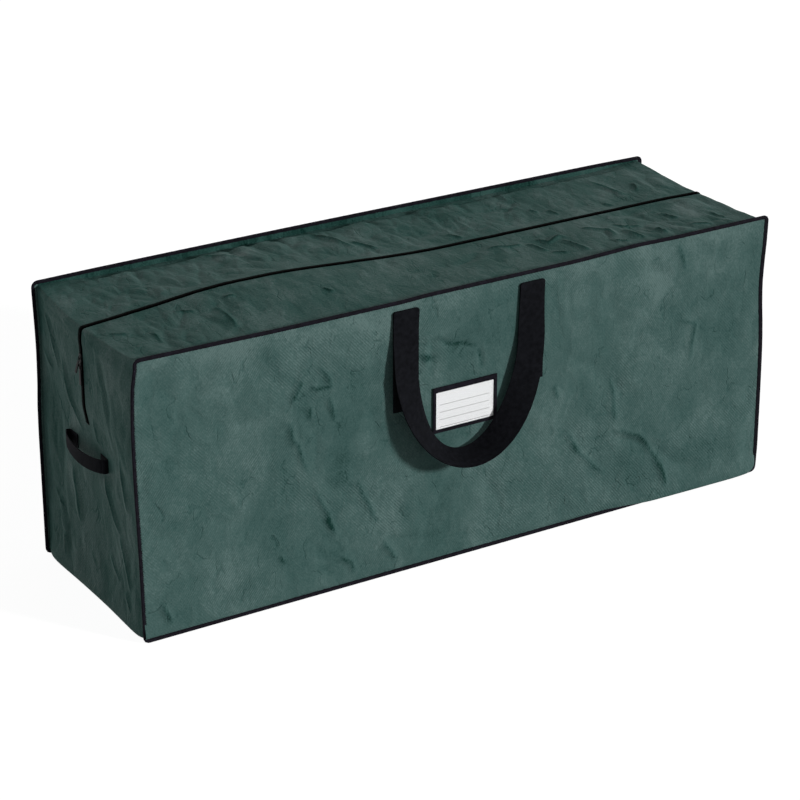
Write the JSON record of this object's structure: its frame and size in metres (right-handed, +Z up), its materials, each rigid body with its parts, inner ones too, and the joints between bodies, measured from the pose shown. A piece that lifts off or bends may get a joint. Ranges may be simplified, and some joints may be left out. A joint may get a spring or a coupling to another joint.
{
  "type": "christmas tree storage bag",
  "caption": "Long zipped storage bag of woven sheet with taped edges, webbing carry handles, end handles and a label pocket.",
  "frame": {"origin": "under the middle of the bag, on the surface that it stands on", "axes": "+X along the bag to the right seen from the front, +Y from the front panel to the back, +Z up"},
  "size_m": [1.2966, 0.4852, 0.5173],
  "materials": {
    "woven_sheet": "laminated woven polyethylene, dark green",
    "edge_tape": "black folded binding tape",
    "webbing": "black polypropylene webbing",
    "zip_tape": "black knitted zip tape",
    "zip_teeth": "black nylon coil",
    "zip_metal": "black painted die cast zinc",
    "label_card": "white card with thin grey lines",
    "label_window": "clear flexible film"
  },
  "bodies": {
    "bag": {"front_panel": "woven_sheet", "back_panel": "woven_sheet", "bottom_panel": "woven_sheet", "left_end_panel": "woven_sheet", "right_end_panel": "woven_sheet", "front_edge_tape": "edge_tape", "back_edge_tape": "edge_tape", "left_front_zip_tape": "zip_tape", "left_back_zip_tape": "zip_tape", "left_front_zip_teeth": "zip_teeth", "left_back_zip_teeth": "zip_teeth", "right_front_zip_tape": "zip_tape", "right_back_zip_tape": "zip_tape", "right_front_zip_teeth": "zip_teeth", "right_back_zip_teeth": "zip_teeth", "left_zip_stop": "zip_metal", "right_zip_stop": "zip_metal", "front_handle_left_leg": "webbing", "front_handle_right_leg": "webbing", "back_handle_left_leg": "webbing", "back_handle_right_leg": "webbing", "left_end_handle_front_tab": "webbing", "left_end_handle_back_tab": "webbing", "right_end_handle_front_tab": "webbing", "right_end_handle_back_tab": "webbing", "label_backing": "edge_tape", "label_frame": "edge_tape", "label_window": "label_window"},
    "front_flap": {"top_front_flap": "woven_sheet", "top_front_zip_tape": "zip_tape", "top_front_zip_teeth": "zip_teeth"},
    "back_flap": {"top_back_flap": "woven_sheet", "top_back_zip_tape": "zip_tape", "top_back_zip_teeth": "zip_teeth"},
    "front_handle": {"front_handle_loop": "webbing"},
    "back_handle": {"back_handle_loop": "webbing"},
    "left_end_handle": {"left_end_handle_strap": "webbing"},
    "right_end_handle": {"right_end_handle_strap": "webbing"},
    "upper_slider": {"upper_slider": "zip_metal"},
    "upper_pull": {"upper_pull": "zip_metal"},
    "lower_slider": {"lower_slider": "zip_metal"},
    "lower_pull": {"lower_pull": "zip_metal"},
    "card": {"label_card": "label_card"}
  },
  "joints": [
    {"name": "front_flap_open", "type": "hinge", "parent": "bag", "child": "front_flap", "pos_m": [0, -0.1896, 0.4979], "axis": [1, 0, 0], "range_deg": [0, 85]},
    {"name": "back_flap_open", "type": "hinge", "parent": "bag", "child": "back_flap", "pos_m": [0, 0.1896, 0.4979], "axis": [-1, 0, 0], "range_deg": [0, 85]},
    {"name": "front_handle_swing", "type": "hinge", "parent": "bag", "child": "front_handle", "pos_m": [0, -0.19485, 0.486], "axis": [-1, 0, 0], "range_deg": [0, 165]},
    {"name": "back_handle_swing", "type": "hinge", "parent": "bag", "child": "back_handle", "pos_m": [0, 0.19485, 0.486], "axis": [1, 0, 0], "range_deg": [0, 165]},
    {"name": "left_end_handle_swing", "type": "hinge", "parent": "bag", "child": "left_end_handle", "pos_m": [-0.6375, 0.006, 0.271], "axis": [0, 1, 0], "range_deg": [-30, 30]},
    {"name": "right_end_handle_swing", "type": "hinge", "parent": "bag", "child": "right_end_handle", "pos_m": [0.6375, 0.006, 0.271], "axis": [0, -1, 0], "range_deg": [-30, 30]},
    {"name": "upper_slider_slide", "type": "slide", "parent": "bag", "child": "upper_slider", "axis": [0, 0, 1], "range_m": [0, 0.016]},
    {"name": "upper_pull_swing", "type": "hinge", "parent": "upper_slider", "child": "upper_pull", "pos_m": [-0.6405, 0, 0.444], "axis": [0, 1, 0], "range_deg": [0, 140]},
    {"name": "lower_slider_slide", "type": "slide", "parent": "bag", "child": "lower_slider", "axis": [0, 0, -1], "range_m": [0, 0.058]},
    {"name": "lower_pull_swing", "type": "hinge", "parent": "lower_slider", "child": "lower_pull", "pos_m": [-0.6405, 0, 0.43], "axis": [0, 1, 0], "range_deg": [0, 25]},
    {"name": "card_slide", "type": "slide", "parent": "bag", "child": "card", "axis": [0, 0, 1], "range_m": [0, 0.075]}
  ]
}
